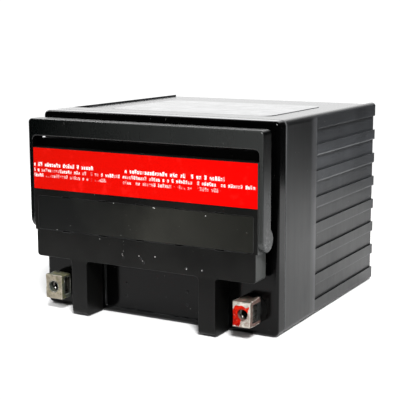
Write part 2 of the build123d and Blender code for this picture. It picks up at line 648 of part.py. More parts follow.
def make_separators(index):
    """Glass-mat sheets between the plates of a cell."""
    with BuildPart() as sheets:
        with BuildSketch(level(PLATE_BOTTOM - SHEET_OVERHANG)):
            with Locations((cell_x(index), MID_Z)):
                with GridLocations(2 * STACK_PITCH, 0, POSITIVE_PLATES, 1):
                    with GridLocations(POSITIVE_THICKNESS + SHEET_THICKNESS, 0, 2, 1):
                        Rectangle(SHEET_THICKNESS, PLATE_WIDTH + 2 * SHEET_MARGIN)
        extrude(amount=PLATE_TOP - PLATE_BOTTOM + 2 * SHEET_OVERHANG)
    return sheets.part


for cell in range(CELLS):
    near_z, far_z = TERMINAL_Z, WIDTH - TERMINAL_Z
    negative_z, positive_z = (near_z, far_z) if cell % 2 == 0 else (far_z, near_z)
    number = cell + 1
    save(make_plates(cell, POSITIVE_PLATES, POSITIVE_THICKNESS, positive_z), f"positive_plates_{number}")
    save(make_plates(cell, NEGATIVE_PLATES, NEGATIVE_THICKNESS, negative_z), f"negative_plates_{number}")
    save(make_separators(cell), f"separators_{number}")

with BuildPart() as intercell_welds:
    for wall in range(CELLS - 1):
        wall_x = (cell_x(wall) + cell_x(wall + 1)) / 2
        weld_z = WIDTH - TERMINAL_Z if wall % 2 == 0 else TERMINAL_Z
        with Locations(Location((wall_x, HEIGHT / 2 - WELD_HEIGHT, weld_z), (0, 90, 0))):
            Cylinder(WELD_RADIUS, CELL_PITCH - STRAP_LENGTH)
save(intercell_welds.part, "intercell_welds")

# ---------------------------------------------------------------- labels
with BuildPart() as top_strip_label:
    with BuildSketch(level(COVER_TOP)):
        upright(-COVER_HALF + LABEL_INSET, COVER_HALF - LABEL_INSET, STRIP_LABEL_BOTTOM_Z, STRIP_LABEL_TOP_Z)
    extrude(amount=LABEL_THICKNESS)
save(top_strip_label.part, "top_strip_label")

with BuildPart() as side_label:
    with BuildSketch(Plane.XY.offset(WIDTH - PANEL_DEPTH)):
        with Locations((0, HEIGHT / 2 - (SIDE_LABEL_BOTTOM + SIDE_LABEL_TOP) / 2)):
            RectangleRounded(2 * SIDE_LABEL_HALF, SIDE_LABEL_TOP - SIDE_LABEL_BOTTOM, SIDE_LABEL_RADIUS)
    extrude(amount=LABEL_THICKNESS)
save(side_label.part, "side_label")
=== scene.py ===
import bpy
import bmesh
import json
import math
from mathutils import Matrix, Vector, noise


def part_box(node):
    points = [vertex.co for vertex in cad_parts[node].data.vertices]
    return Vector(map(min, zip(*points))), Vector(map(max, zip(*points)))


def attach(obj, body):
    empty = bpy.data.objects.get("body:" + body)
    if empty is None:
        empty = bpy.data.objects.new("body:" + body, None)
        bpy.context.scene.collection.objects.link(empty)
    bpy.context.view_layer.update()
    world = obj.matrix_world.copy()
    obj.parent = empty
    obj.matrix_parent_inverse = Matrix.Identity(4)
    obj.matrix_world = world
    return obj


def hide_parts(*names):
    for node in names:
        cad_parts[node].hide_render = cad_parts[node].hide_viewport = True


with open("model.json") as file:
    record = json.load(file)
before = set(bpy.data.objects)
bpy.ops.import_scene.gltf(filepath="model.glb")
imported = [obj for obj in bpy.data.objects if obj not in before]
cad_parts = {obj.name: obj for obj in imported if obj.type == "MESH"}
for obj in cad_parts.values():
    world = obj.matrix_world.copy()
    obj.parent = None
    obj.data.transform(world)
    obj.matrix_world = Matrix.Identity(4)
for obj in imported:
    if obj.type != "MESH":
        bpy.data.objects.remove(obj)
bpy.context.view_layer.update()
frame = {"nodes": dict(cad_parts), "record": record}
NODES = frame["nodes"]
MM = 0.001

# Directions that surfaces face
UP = (0.0, 0.0, 1.0)
FRONT = (0.0, -1.0, 0.0)
POSITIVE_END = (1.0, 0.0, 0.0)


# ---------------------------------------------------------------- node helpers
class Look:
    """One procedural material: small helpers that add nodes and link them.

    A value is a socket or a number, and a noise scale counts features per metre.
    """

    def __init__(self, name):
        self.material = bpy.data.materials.new(name)
        self.material.use_nodes = True
        self.tree = self.material.node_tree
        self.shader = self.tree.nodes["Principled BSDF"]
        self.place = self.tree.nodes.new("ShaderNodeTexCoord").outputs["Object"]

    def node(self, kind, **settings):
        made = self.tree.nodes.new(kind)
        for key, value in settings.items():
            setattr(made, key, value)
        return made

    def put(self, socket, value):
        """Link a socket, or set a number or colour."""
        if isinstance(value, bpy.types.NodeSocket):
            self.tree.links.new(value, socket)
        elif isinstance(value, tuple) and len(value) == 3 and socket.type == "RGBA":
            socket.default_value = (*value, 1.0)
        else:
            socket.default_value = value

    def maths(self, operation, a, b=0.0):
        made = self.node("ShaderNodeMath", operation=operation)
        self.put(made.inputs[0], a)
        self.put(made.inputs[1], b)
        return made.outputs[0]

    def times(self, first, *others):
        product = first
        for other in others:
            product = self.maths("MULTIPLY", product, other)
        return product

    def plus(self, a, b):
        return self.maths("ADD", a, b)

    def minus(self, a, b):
        return self.maths("SUBTRACT", a, b)

    def apart(self, a, b):
        return self.maths("ABSOLUTE", self.minus(a, b))

    def stretch(self, x, y, z):
        """Object coordinates in metres, scaled along each axis."""
        made = self.node("ShaderNodeMapping")
        self.put(made.inputs["Vector"], self.place)
        made.inputs["Scale"].default_value = (x, y, z)
        return made.outputs[0]

    def noise(self, scale, detail=4.0, rough=0.55, at=None, distort=0.0):
        made = self.node("ShaderNodeTexNoise")
        self.put(made.inputs["Vector"], self.place if at is None else at)
        made.inputs["Scale"].default_value = scale
        made.inputs["Detail"].default_value = detail
        made.inputs["Roughness"].default_value = rough
        made.inputs["Distortion"].default_value = distort
        return made.outputs["Fac"]

    def cells(self, scale):
        """Distance to the nearest of many scattered points, in cells."""
        made = self.node("ShaderNodeTexVoronoi")
        self.put(made.inputs["Vector"], self.place)
        made.inputs["Scale"].default_value = scale
        return made.outputs["Distance"]

    def ramp(self, value, low, high, start=0.0, end=1.0):
        """Value between low and high, stretched to start..end and held there."""
        made = self.node("ShaderNodeMapRange")
        self.put(made.inputs["Value"], value)
        self.put(made.inputs["From Min"], low)
        self.put(made.inputs["From Max"], high)
        self.put(made.inputs["To Min"], start)
        self.put(made.inputs["To Max"], end)
        return made.outputs["Result"]

    def mix(self, share, a, b):
        made = self.node("ShaderNodeMix", data_type="RGBA")
        self.put(made.inputs["Factor"], share)
        self.put(made.inputs["A"], a)
        self.put(made.inputs["B"], b)
        return made.outputs["Result"]

    def axes(self):
        made = self.node("ShaderNodeSeparateXYZ")
        self.put(made.inputs[0], self.place)
        return made.outputs

    def rounded(self, radius):
        """Normal with the sharp edges rounded off."""
        made = self.node("ShaderNodeBevel", samples=6)
        made.inputs["Radius"].default_value = radius
        return made.outputs["Normal"]

    def edges(self, radius):
        """1 on a sharp edge, 0 on flat ground."""
        soft = self.rounded(radius)
        flat = self.node("ShaderNodeNewGeometry").outputs["Normal"]
        made = self.node("ShaderNodeVectorMath", operation="DOT_PRODUCT")
        self.put(made.inputs[0], soft)
        self.put(made.inputs[1], flat)
        return self.ramp(made.outputs["Value"], 0.995, 0.86)

    def facing(self, direction, low, high):
        """0 to 1 as the cosine between a surface's normal and a direction goes from low to high."""
        flat = self.node("ShaderNodeNewGeometry").outputs["Normal"]
        made = self.node("ShaderNodeVectorMath", operation="DOT_PRODUCT")
        self.put(made.inputs[0], flat)
        made.inputs[1].default_value = direction
        return self.ramp(made.outputs["Value"], low, high)

    def wandering(self, place, blotch, reach):
        """A coordinate that blotches shift to and fro, so that a border drawn by it is uneven."""
        return self.plus(place, self.times(self.minus(blotch, 0.5), reach))

    def dots(self, places, radius):
        """1 inside small round spots at these X and Z places in mm, 0 elsewhere."""
        across, _, up = self.axes()
        flat = self.node("ShaderNodeCombineXYZ")
        self.put(flat.inputs["X"], across)
        self.put(flat.inputs["Z"], up)
        spots = 0.0
        for x, z in places:
            gap = self.node("ShaderNodeVectorMath", operation="DISTANCE")
            self.put(gap.inputs[0], flat.outputs[0])
            gap.inputs[1].default_value = (x * MM, 0.0, z * MM)
            spots = self.maths("MAXIMUM", spots, self.ramp(gap.outputs["Value"], radius, 0.6 * radius))
        return spots

    def bump(self, height, strength, depth, normal=None):
        made = self.node("ShaderNodeBump")
        self.put(made.inputs["Height"], height)
        made.inputs["Strength"].default_value = strength
        made.inputs["Distance"].default_value = depth
        if normal is not None:
            self.put(made.inputs["Normal"], normal)
        return made.outputs["Normal"]

    def finish(self, color, rough, normal=None, metal=0.0, **others):
        self.put(self.shader.inputs["Base Color"], color)
        self.put(self.shader.inputs["Roughness"], rough)
        self.put(self.shader.inputs["Metallic"], metal)
        if normal is not None:
            self.put(self.shader.inputs["Normal"], normal)
        for key, value in others.items():
            self.put(self.shader.inputs[key.replace("_", " ")], value)
        return self.material


# ---------------------------------------------------------------- moulded plastics
# Paler edge colour: partly wear, partly a painted highlight along the rounded edges
PALE_EDGE_WEAR_AND_HIGHLIGHT = (0.16, 0.165, 0.17)
PALE_EDGE_WIDTH = 0.45 * MM
LINT = (0.42, 0.42, 0.40)


def moulded(name, color, dust, rough, spread, grain, grain_depth, edge, shine=0.5, round_off=0.25 * MM,
            extra=None, top_rough=None):
    """Black polypropylene: moulding grain, handling marks, dust, and paler edges that are partly wear
    and partly a painted highlight.

    extra(look, base, blotch, streak) adds what one piece alone has, and top_rough is the roughness
    of its upward faces.
    """
    look = Look(name)
    blotch = look.noise(28.0, detail=5.0, rough=0.6)
    streak = look.noise(60.0, detail=4.0, rough=0.6, at=look.stretch(4.0, 4.0, 0.35))
    # Paler edges: partly wear, partly a painted highlight where rounded edges catch light.
    edge_wear_and_highlight = look.times(look.edges(PALE_EDGE_WIDTH), look.ramp(look.noise(160.0, detail=3.0), 0.3, 0.7))
    specks = look.ramp(look.cells(420.0), 0.075, 0.045)
    sparse = look.ramp(look.noise(70.0, detail=2.0), 0.56, 0.66)
    base = look.mix(look.ramp(blotch, 0.35, 0.7), color, dust)
    if extra is not None:
        base = extra(look, base, blotch, streak)
    base = look.mix(look.times(edge_wear_and_highlight, edge), base, PALE_EDGE_WEAR_AND_HIGHLIGHT)
    base = look.mix(look.times(specks, sparse), base, LINT)
    handled = look.plus(blotch, look.times(streak, 0.6))
    roughness = look.ramp(handled, 0.45, 1.15, rough - spread, rough + spread)
    if top_rough is not None:
        roughness = look.ramp(look.facing(UP, 0.5, 0.9), 0.0, 1.0, roughness, top_rough)
    fine = look.noise(grain, detail=3.0, rough=0.6)
    scratch = look.noise(220.0, detail=2.0, rough=0.5, at=look.stretch(0.08, 1.0, 3.0))
    height = look.plus(fine, look.times(scratch, 0.25))
    normal = look.bump(height, strength=0.35, depth=grain_depth, normal=look.rounded(round_off))
    return look.finish(base, roughness, normal, Specular_IOR_Level=shine)


CASE_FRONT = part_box("case")[0].y
RIB_PITCH = 16.35 * MM
LOWEST_RIB_EDGE = 18.75 * MM
# Each pair of distances, here and further down, is where a mark begins and where it is full.
# These run along Y or up Z. The shoulder is the smooth stretch between the lid and the ribs.
SHOULDER_LID_SIDE = (-26 * MM, -17 * MM)
SHOULDER_RIB_SIDE = (-14.6 * MM, -15.6 * MM)
SHOULDER_RISE = (25 * MM, 95 * MM)
CLOUD_START = (-16 * MM, -13 * MM)
CLOUD_RISE = (45 * MM, 95 * MM)
CLOUD_TOP = (122 * MM, 102 * MM)
RIB_EDGE_START = (-14.0 * MM, -13.0 * MM)
RIB_EDGE_RISE = (20 * MM, 100 * MM)
RIB_EDGE_TOP = (114 * MM, 104 * MM)
# The same in shares of the rib pitch, for the painted highlight line along each rib's lower edge
LINE_BOTTOM = (0.0, 0.012)
LINE_TOP = (0.055, 0.03)
# Depth behind the case's front edge of the painted highlight along its lip
LIP_DEPTH = (1.3 * MM, 0.6 * MM)
SHOULDER_HIGHLIGHT = (0.072, 0.074, 0.079)
LIP_HIGHLIGHT = (0.095, 0.098, 0.100)
RIB_DUST = (0.042, 0.045, 0.050)
RIB_EDGE_HIGHLIGHT = (0.17, 0.175, 0.18)


def ribs_dust_and_highlights(look, base, blotch, streak):
    """A painted highlight on the shoulder beside the ribs and along the case's front lip, dust on the
    upper ribs, and a painted highlight line along the ribs' lower edges.
    """
    _, along, up = look.axes()
    # Painted highlight: a pale streak down the shoulder beside the ribs, where its curve catches light.
    shoulder_highlight = look.times(
        look.ramp(along, *SHOULDER_LID_SIDE), look.ramp(along, *SHOULDER_RIB_SIDE),
        look.ramp(streak, 0.25, 0.65, 0.45, 1.0), look.ramp(up, *SHOULDER_RISE, 0.4, 1.0),
        look.facing(UP, 0.8, 0.3))
    base = look.mix(shoulder_highlight, base, SHOULDER_HIGHLIGHT)
    # Painted highlight: a pale band along the case's front lip, where its rim catches light.
    lip_highlight = look.times(look.ramp(along, CASE_FRONT + LIP_DEPTH[0], CASE_FRONT + LIP_DEPTH[1]),
                     look.ramp(streak, 0.30, 0.60, 0.35, 1.0))
    base = look.mix(lip_highlight, base, LIP_HIGHLIGHT)
    cloud = look.times(
        look.ramp(up, *CLOUD_RISE), look.ramp(along, *CLOUD_START),
        look.facing(POSITIVE_END, 0.3, 0.8), look.ramp(up, *CLOUD_TOP, 0.45, 1.0),
        look.ramp(blotch, 0.30, 0.65, 0.45, 1.0))
    base = look.mix(cloud, base, RIB_DUST)
    # 0 at a rib's lower edge and 1 at the next one
    rise = look.maths("DIVIDE", look.minus(up, LOWEST_RIB_EDGE), RIB_PITCH)
    rise = look.maths("FRACT", rise)
    # Painted highlight: a pale line along each rib's lower edge, where its rounding reflects the floor.
    edge = look.times(
        look.ramp(rise, *LINE_BOTTOM), look.ramp(rise, *LINE_TOP), look.ramp(along, *RIB_EDGE_START),
        look.ramp(up, *RIB_EDGE_RISE, 0.12, 0.75), look.ramp(up, *RIB_EDGE_TOP, 0.12, 1.0),
        look.ramp(blotch, 0.35, 0.60, 0.35, 1.0))
    return look.mix(edge, base, RIB_EDGE_HIGHLIGHT)


# X and Z of each speck in mm
BLOCK_SPECKS = [(-18.7, 73.7), (9.6, 73.4), (10.4, 73.2), (-61.5, 53.2), (-29.1, 50.7), (-12.9, 43.1),
                (-12.5, 42.2), (-0.8, 43.2), (1.7, 40.4), (10.5, 43.9), (44.9, 71.7), (32.1, 39.1),
                (42.5, 39.4)]
SPECK_RADIUS = 0.34 * MM
SPECK_DUST_AND_GLINT = (0.75, 0.75, 0.73)
# Up Z, and along X towards the block's positive end
LEGS_TOP = (36 * MM, 34 * MM)
BLOCK_END = (70 * MM, 72 * MM)
LEG_PAINTED_SHADE = (0.0010, 0.0010, 0.0009)
END_DUST = (0.060, 0.063, 0.061)


def specks_dust_and_leg_shade(look, base, blotch, streak):
    """Single pale specks on the front (dust with painted glints), dust on the block's positive end, and
    legs darkened as painted shade.
    """
    across, _, up = look.axes()
    # Painted shade: the legs below the block are darkened.
    base = look.mix(look.ramp(up, *LEGS_TOP, 0.0, 0.8), base, LEG_PAINTED_SHADE)
    end = look.times(look.facing(POSITIVE_END, 0.5, 0.9), look.ramp(across, *BLOCK_END),
                     look.ramp(blotch, 0.2, 0.6, 0.6, 1.0))
    base = look.mix(end, base, END_DUST)
    # Pale specks: dust, painted bright as a glint on each.
    faint = look.ramp(look.noise(90.0, detail=2.0), 0.40, 0.60, 0.35, 1.0)
    specks = look.times(look.dots(BLOCK_SPECKS, SPECK_RADIUS), faint)
    return look.mix(specks, base, SPECK_DUST_AND_GLINT)


STRIP_BLACK = (0.0052, 0.0056, 0.0054)
STRIP_PALE = (0.0095, 0.0098, 0.0078)
# Along X: how far the blotches shift the borders, and the borders
STRIP_WANDER = 60 * MM
STRIP_BLACK_SIDE = (12 * MM, -50 * MM)
STRIP_PALE_SIDE = (30 * MM, 70 * MM)


def strip_dark_to_pale(look, base, blotch, streak):
    """Black at the negative end like the block, paler from the middle on."""
    across = look.wandering(look.axes()[0], blotch, STRIP_WANDER)
    base = look.mix(look.ramp(across, *STRIP_BLACK_SIDE), base, STRIP_BLACK)
    base = look.mix(look.ramp(across, *STRIP_PALE_SIDE, 0.0, 0.8), base, STRIP_PALE)
    return specks_dust_and_leg_shade(look, base, blotch, streak)


GRIP_DARK_END = (0.0001, 0.0006, 0.0005)
GRIP_PAINTED_LIGHT = (0.0265, 0.0280, 0.0270)
GRIP_TOP = (0.0022, 0.0026, 0.0026)
ARM_CLEAN = (0.0002, 0.0004, 0.0004)
ARM_DUST = (0.0135, 0.0150, 0.0155)
ARM_SCUFF = (0.065, 0.068, 0.068)
# Along X on the grip, and down Z on the arms
GRIP_WANDER = 30 * MM
GRIP_LENGTH = (-75 * MM, 80 * MM)
ARM_FALL = (104 * MM, 84 * MM)
SCUFF_FALL = (70 * MM, 62 * MM)


def grip_light_and_arm_dust(look, base, blotch, streak):
    """The front is painted lighter towards the positive end as painted light, and dust on the arms gets
    denser towards the pivots.
    """
    across, _, up = look.axes()
    # Painted light: the grip's front grows lighter towards the positive end, where the key light falls.
    dust = look.ramp(look.wandering(across, blotch, GRIP_WANDER), *GRIP_LENGTH)
    front = look.mix(dust, GRIP_DARK_END, GRIP_PAINTED_LIGHT)
    arm = look.mix(look.ramp(up, *ARM_FALL), ARM_CLEAN, ARM_DUST)
    scuffs = look.times(look.ramp(up, *SCUFF_FALL), look.ramp(look.noise(320.0, detail=3.0), 0.50, 0.64))
    arm = look.mix(scuffs, arm, ARM_SCUFF)
    base = look.mix(look.facing(UP, 0.3, 0.8), arm, GRIP_TOP)
    return look.mix(look.facing(FRONT, 0.3, 0.8), base, front)


case_plastic = moulded("case_plastic", color=(0.0035, 0.0038, 0.0042), dust=(0.0075, 0.0079, 0.0083),
                       rough=0.40, spread=0.07, grain=1500.0, grain_depth=0.012 * MM, edge=0.35,
                       extra=ribs_dust_and_highlights, top_rough=0.25)
lid_plastic = moulded("lid_plastic", color=(0.0002, 0.0002, 0.0003), dust=(0.0008, 0.0008, 0.0008),
                      rough=0.14, spread=0.04, grain=900.0, grain_depth=0.01 * MM, edge=0.4,
                      shine=0.15, round_off=0.5 * MM)
cover_plastic = moulded("cover_plastic", color=(0.0032, 0.0032, 0.0030), dust=(0.0075, 0.0075, 0.0068),
                        rough=0.40, spread=0.06, grain=2600.0, grain_depth=0.04 * MM, edge=0.4,
                        shine=0.17, extra=specks_dust_and_leg_shade)
cap_plastic = moulded("cap_plastic", color=(0.013, 0.013, 0.0110), dust=(0.024, 0.024, 0.0200),
                      rough=0.38, spread=0.06, grain=2600.0, grain_depth=0.04 * MM, edge=0.4,
                      shine=0.20, extra=strip_dark_to_pale)
handle_plastic = moulded("handle_plastic", color=(0.0042, 0.0054, 0.0054), dust=(0.009, 0.0105, 0.0105),
                         rough=0.28, spread=0.07, grain=2200.0, grain_depth=0.04 * MM, edge=0.6,
                         shine=0.36, extra=grip_light_and_arm_dust)


# ---------------------------------------------------------------- other materials
def make_rubber():
    look = Look("seal_rubber")
    base = look.mix(look.noise(400.0), (0.018, 0.018, 0.018), (0.04, 0.04, 0.038))
    return look.finish(base, look.ramp(look.noise(900.0), 0.3, 0.7, 0.65, 0.85),
                       look.bump(look.noise(3000.0), strength=0.3, depth=0.04 * MM))


def make_resin():
    look = Look("seal_resin")
    base = look.mix(look.noise(300.0), (0.0008, 0.0008, 0.0009), (0.003, 0.0028, 0.0026))
    return look.finish(base, look.ramp(look.noise(500.0), 0.3, 0.7, 0.4, 0.6),
                       look.bump(look.noise(350.0, detail=2.0), strength=0.5, depth=0.25 * MM),
                       Specular_IOR_Level=0.1)


def make_porous():
    look = Look("arrestor")
    pores = look.ramp(look.cells(1800.0), 0.12, 0.4)
    base = look.mix(pores, (0.35, 0.34, 0.32), (0.78, 0.77, 0.74))
    return look.finish(base, look.ramp(pores, 0.0, 1.0, 0.95, 0.8),
                       look.bump(pores, strength=0.6, depth=0.2 * MM))


LID_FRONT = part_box("lid")[0].y
LEAD_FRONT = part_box("positive_terminal")[0].y
LEAD_SCUFF = (0.80, 0.78, 0.72)
ROOT_PAINTED_SHADE = (0.006, 0.006, 0.006)
# Distances in front of the lid between which the lead turns black, as painted shade in the gap at its
# root
ROOT_REACH = (2.4 * MM, 1.8 * MM)
SCUFF_WIDTH = 0.9 * MM
METAL_ROUND = 0.3 * MM
TERMINAL_METAL = 0.2
GRID_METAL = 0.6


def cast_lead(name, dull, bright, tarnish, side, shine):
    """Cast lead: oxide blotches, bright scuffs on high spots, fine pitting, a darker side colour off the
    front as painted shade, and black painted shade at the root by the lid.
    """
    look = Look(name)
    blotch = look.noise(260.0, detail=6.0, rough=0.65, distort=0.6)
    tint = look.noise(420.0, detail=4.0, rough=0.6)
    base = look.mix(look.ramp(blotch, 0.38, 0.62), dull, bright)
    base = look.mix(look.ramp(tint, 0.52, 0.72), base, tarnish)
    # Painted shade: faces turned away from the front, the stud hole's walls among them, take the darker
    # side colour.
    shaded = look.mix(look.ramp(tint, 0.40, 0.62), side, tarnish)
    base = look.mix(look.facing(FRONT, 0.15, 0.75), shaded, base)
    scuff = look.times(look.edges(SCUFF_WIDTH), look.ramp(look.noise(300.0), 0.36, 0.54))
    base = look.mix(scuff, base, LEAD_SCUFF)
    # Painted shade: black at the root, in the gap by the lid.
    root_shade = look.ramp(look.axes()[1], LID_FRONT - ROOT_REACH[0], LID_FRONT - ROOT_REACH[1])
    base = look.mix(root_shade, base, ROOT_PAINTED_SHADE)
    pits = look.ramp(look.cells(1300.0), 0.05, 0.28)
    height = look.plus(look.times(blotch, 0.8), look.times(pits, 0.25))
    roughness = look.ramp(blotch, 0.3, 0.7, shine + 0.18, shine)
    normal = look.bump(height, strength=0.6, depth=0.35 * MM, normal=look.rounded(METAL_ROUND))
    return look, base, roughness, normal


POCKET_PAINTED_SHADE = (0.018, 0.019, 0.018)
# The pocket's height beyond the nut, and how far its painted shade fades out past that
POCKET_GAP = 0.45 * MM
POCKET_FADE = 0.2 * MM
# From a pocket's middle sideways, past its height, in front of the nut, behind the terminal's front,
# and from a hole's axis
POCKET_SIDE = (5.9 * MM, 5.4 * MM)
RIM_HEIGHT = (1.5 * MM, 1.0 * MM)
POCKET_DEPTH = (0.7 * MM, 0.3 * MM)
RIM_DEPTH = (2.0 * MM, 1.5 * MM)
BORE_DEPTH = (0.5 * MM, 0.9 * MM)
BORE_WALL = (3.3 * MM, 3.1 * MM)
DULL_RIM = (4.2 * MM, 3.8 * MM)


def pocket_shade_and_dull_rims(look, base, nut, rim):
    """Black painted shade in a nut pocket and in the stud hole in front of it, and dull edges round
    both.
    """
    low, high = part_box(nut)
    across, depth, up = look.axes()
    off_x = look.apart(across, (low.x + high.x) / 2)
    off_z = look.apart(up, (low.z + high.z) / 2)
    tall = (high.z - low.z) / 2 + POCKET_GAP
    pocket = look.times(look.ramp(off_z, tall + POCKET_FADE, tall), look.ramp(off_x, *POCKET_SIDE),
                        look.ramp(depth, low.y - POCKET_DEPTH[0], low.y - POCKET_DEPTH[1]))
    edge = look.times(look.ramp(off_z, tall + RIM_HEIGHT[0], tall + RIM_HEIGHT[1]),
                      look.ramp(depth, low.y - RIM_DEPTH[0], low.y - RIM_DEPTH[1]))
    radial = look.plus(look.maths("POWER", off_x, 2.0), look.maths("POWER", off_z, 2.0))
    radial = look.maths("SQRT", radial)
    bore = look.times(look.ramp(radial, *BORE_WALL),
                      look.ramp(depth, LEAD_FRONT + BORE_DEPTH[0], LEAD_FRONT + BORE_DEPTH[1]))
    edge = look.maths("MAXIMUM", edge, look.ramp(radial, *DULL_RIM))
    edge = look.times(edge, look.ramp(look.noise(380.0), 0.35, 0.55, 0.4, 0.9))
    base = look.mix(edge, base, rim)
    # Painted shade: the pocket and the hole are painted near-black.
    return look.mix(look.maths("MAXIMUM", pocket, bore), base, POCKET_PAINTED_SHADE)


def make_negative_lead():
    side = (0.048, 0.056, 0.048)
    look, base, roughness, normal = cast_lead(
        "negative_lead", dull=(0.115, 0.098, 0.066), bright=(0.29, 0.255, 0.195),
        tarnish=(0.125, 0.120, 0.055), side=side, shine=0.42)
    return look.finish(pocket_shade_and_dull_rims(look, base, "negative_nut", side), roughness, normal, TERMINAL_METAL)


def make_grid_lead():
    look, base, roughness, normal = cast_lead(
        "grid_lead", dull=(0.16, 0.165, 0.175), bright=(0.36, 0.37, 0.39),
        tarnish=(0.11, 0.11, 0.12), side=(0.20, 0.205, 0.21), shine=0.45)
    return look.finish(base, roughness, normal, GRID_METAL)


# The painted square's half height, and how far behind the terminal's front the paint ends
PAINT_HALF = 7.6 * MM
PAINT_DEPTH = (1.6 * MM, 0.9 * MM)
# Its outline in shares of that square: u from the inner edge to the outer one, v from top to bottom
PAINT_WOBBLE = 0.16
PAINT_TOP = 0.13
PAINT_BOTTOM = 1.13
DRIP_LENGTH = 0.34
FALL_END = 0.32
FALL_DEPTH = 0.20
DIP_MIDDLE = 0.76
DIP_HALF = 0.2
DIP_DEPTH = 0.07
# The lines along which it was wiped off: u + v * lean = reach
STEEP_REACH = 1.01
STEEP_LEAN = 0.368
CROSS_REACH = 1.60
CROSS_LEAN = 1.526
CROSS_START = 0.45
RED_THICK = (0.17, 0.003, 0.001)
RED_THIN = (0.60, 0.0125, 0.0015)
RED_LOW = (0.20, 0.003, 0.002)
RED_PAINTED_HIGHLIGHT = (0.62, 0.11, 0.08)
RED_RIM = (0.16, 0.10, 0.085)


def make_painted_lead():
    """The positive terminal's lead, with brushed-on red polarity paint round the hole."""
    look, base, roughness, normal = cast_lead(
        "positive_lead", dull=(0.25, 0.225, 0.185), bright=(0.56, 0.53, 0.48),
        tarnish=(0.17, 0.095, 0.08), side=(0.075, 0.08, 0.062), shine=0.34)
    low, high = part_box("positive_terminal")
    hole = sum(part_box("positive_nut"), Vector()) / 2
    across, depth, up = look.axes()
    wobble = look.times(look.minus(look.noise(330.0, detail=4.0, rough=0.65), 0.5), PAINT_WOBBLE)
    u = look.plus(look.maths("DIVIDE", look.minus(across, low.x), high.x - low.x), wobble)
    v = look.maths("DIVIDE", look.minus(hole.z + PAINT_HALF, up), 2 * PAINT_HALF)
    v = look.plus(v, wobble)
    # The brush left an arch: its top edge sinks towards the inner side and dips near the outer one.
    fall = look.maths("POWER", look.ramp(u, FALL_END, 0.0), 2.0)
    dip = look.ramp(look.apart(u, DIP_MIDDLE), DIP_HALF, 0.0)
    arch = look.plus(look.times(fall, FALL_DEPTH), look.times(dip, DIP_DEPTH))
    under = look.minus(v, look.plus(arch, PAINT_TOP))
    # It was wiped off along a line that leans steeply, then cuts across below the hole.
    steep = look.minus(STEEP_REACH, look.plus(u, look.times(v, STEEP_LEAN)))
    cross = look.minus(CROSS_REACH, look.plus(u, look.times(v, CROSS_LEAN)))
    beside = look.maths("MINIMUM", steep, look.maths("MAXIMUM", cross, look.minus(CROSS_START, u)))
    drips = look.times(look.noise(1100.0, detail=2.0, at=look.stretch(1.0, 1.0, 0.02)), DRIP_LENGTH)
    above = look.minus(PAINT_BOTTOM, look.plus(v, drips))
    reach = look.maths("MINIMUM", look.maths("MINIMUM", under, beside), above)
    front = look.ramp(depth, low.y + PAINT_DEPTH[0], low.y + PAINT_DEPTH[1])
    paint = look.times(look.ramp(reach, 0.0, 0.02), front)
    red = look.mix(look.ramp(look.noise(520.0, detail=4.0, rough=0.6), 0.36, 0.64), RED_THICK, RED_THIN)
    red = look.mix(look.ramp(look.minus(v, u), 0.1, 0.7, 0.0, 0.7), red, RED_LOW)
    # Pale pinkish spots on the paint: painted highlights.
    red = look.mix(look.ramp(look.noise(900.0, detail=3.0), 0.64, 0.72), red, RED_PAINTED_HIGHLIGHT)
    base = look.mix(paint, pocket_shade_and_dull_rims(look, base, "positive_nut", RED_RIM), red)
    roughness = look.ramp(paint, 0.0, 1.0, roughness, 0.34)
    return look.finish(base, roughness, normal, look.ramp(paint, 0.0, 1.0, TERMINAL_METAL, 0.0),
                       Specular_IOR_Level=look.ramp(paint, 0.0, 1.0, 0.5, 0.03))


negative_lead = make_negative_lead()
grid_lead = make_grid_lead()
positive_lead = make_painted_lead()


def make_steel():
    look = Look("nut_steel")
    lines = look.noise(900.0, detail=3.0, rough=0.6, at=look.stretch(1.0, 0.15, 1.0))
    base = look.mix(look.ramp(look.noise(500.0), 0.4, 0.7), (0.30, 0.295, 0.28), (0.19, 0.165, 0.12))
    return look.finish(base, look.ramp(lines, 0.3, 0.7, 0.22, 0.42),
                       look.bump(lines, strength=0.4, depth=0.05 * MM, normal=look.rounded(METAL_ROUND)),
                       metal=1.0)


def make_paste(name, dark, pale):
    """Crumbly active paste pressed into a grid whose wires show faintly."""
    look = Look(name)
    crumbs = look.noise(1400.0, detail=5.0, rough=0.7)
    _, along, up = look.axes()
    grid = look.times(look.maths("SINE", look.times(along, 1200.0)),
                      look.maths("SINE", look.times(up, 900.0)))
    base = look.mix(look.ramp(crumbs, 0.35, 0.65), dark, pale)
    height = look.plus(crumbs, look.times(grid, 0.3))
    return look.finish(base, look.ramp(crumbs, 0.3, 0.7, 0.8, 0.95),
                       look.bump(height, strength=0.5, depth=0.15 * MM))


def make_mat():
    look = Look("glass_mat")
    fibres = look.noise(2600.0, detail=4.0, rough=0.7, at=look.stretch(1.0, 0.3, 1.0))
    base = look.mix(look.ramp(fibres, 0.3, 0.7), (0.72, 0.72, 0.70), (0.88, 0.88, 0.87))
    return look.finish(base, look.ramp(fibres, 0.3, 0.7, 0.88, 0.98),
                       look.bump(fibres, strength=0.5, depth=0.08 * MM))


# ---------------------------------------------------------------- labels
# Each row of marks on the strip in mm: top edge, height, pitch, the stretches it covers along the
# strip, and the wear below which its ink is gone
MARK_ROWS = ((8.9, 2.5, 1.75, ((0.5, 45.5), (66.5, 135.5)), 0.22),
             (12.6, 2.2, 1.55, ((0.5, 64.5), (66.5, 155.0)), 0.47),
             (15.9, 2.2, 1.55, ((0.5, 54.5), (66.5, 134.0)), 0.54))
# Strokes in a mark's pitch, the last one a gap, and strokes in its height
MARK_STEPS = 4
# These keep the rows' random draws apart.
MARK_SEED = 37.0
STROKE_SEED = 11.0
